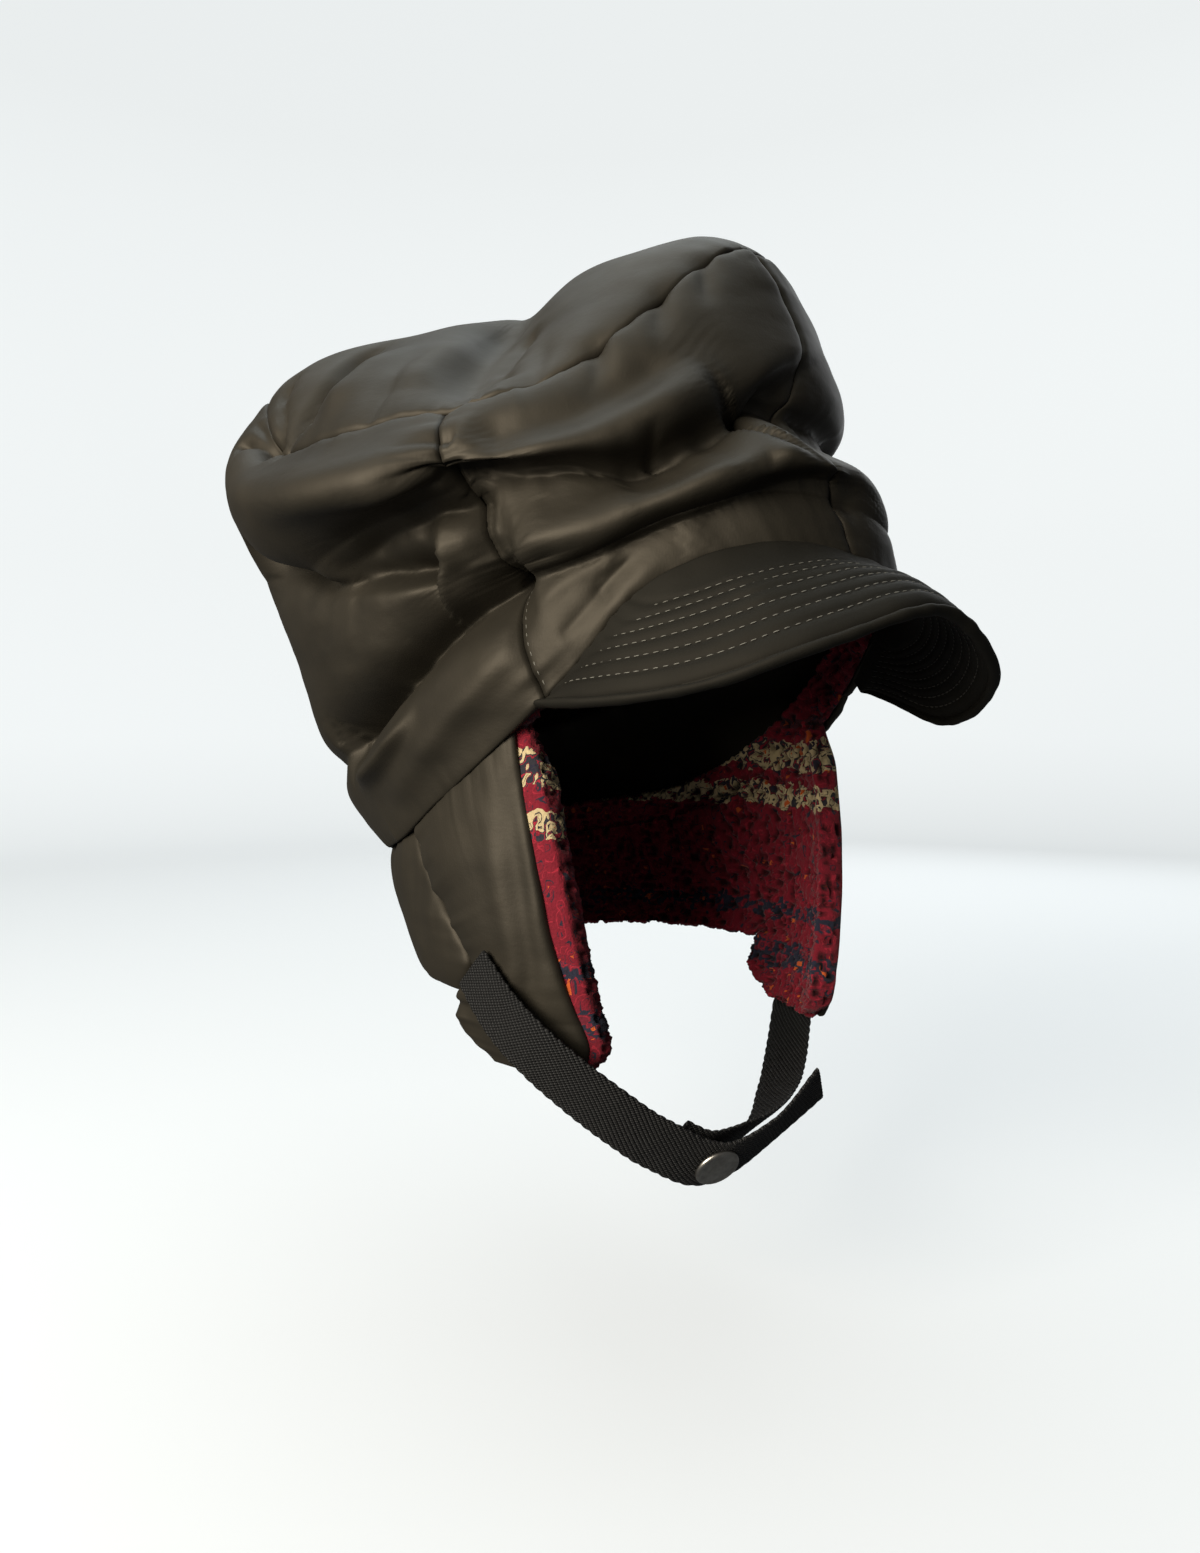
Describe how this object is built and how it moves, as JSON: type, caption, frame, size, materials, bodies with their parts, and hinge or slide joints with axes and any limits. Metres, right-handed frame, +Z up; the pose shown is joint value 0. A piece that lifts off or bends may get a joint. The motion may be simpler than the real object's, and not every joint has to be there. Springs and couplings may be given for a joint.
{
  "type": "crusher cap",
  "caption": "Padded fabric crusher cap with a flopped crown, a stitched visor, ear flaps and a nape flap lined with thick wool, and a webbing chin strap closed by a snap.",
  "frame": {"origin": "middle of the head opening, level with the visor's corners, where a head holds the cap", "axes": "+Z up the head, -Y to the front, +X to the wearer's left"},
  "size_m": [0.2348, 0.3136, 0.3268],
  "materials": {
    "nylon": "padded nylon cloth with a satin shine, dark olive brown",
    "visor_cloth": "matte nylon cloth over a stiff visor board, with rows of stitches",
    "wool": "thick looped wool, dark red with cream and navy stripes",
    "webbing": "ribbed black webbing",
    "snap_steel": "satin grey metal"
  },
  "bodies": {
    "root": {"crown_tip": "nylon", "crown_front_right": "nylon", "crown_back_right": "nylon", "crown_back_left": "nylon", "crown_front_left": "nylon", "visor": "visor_cloth", "visor_edge": "visor_cloth", "ear_flap_right": "nylon", "ear_flap_left": "nylon", "nape_flap": "nylon", "ear_lining_right": "wool", "ear_lining_left": "wool", "nape_lining": "wool", "band_lining": "wool", "chin_strap_right": "webbing", "chin_strap_left": "webbing", "snap_cap": "snap_steel", "snap_stud": "snap_steel"}
  },
  "joints": []
}
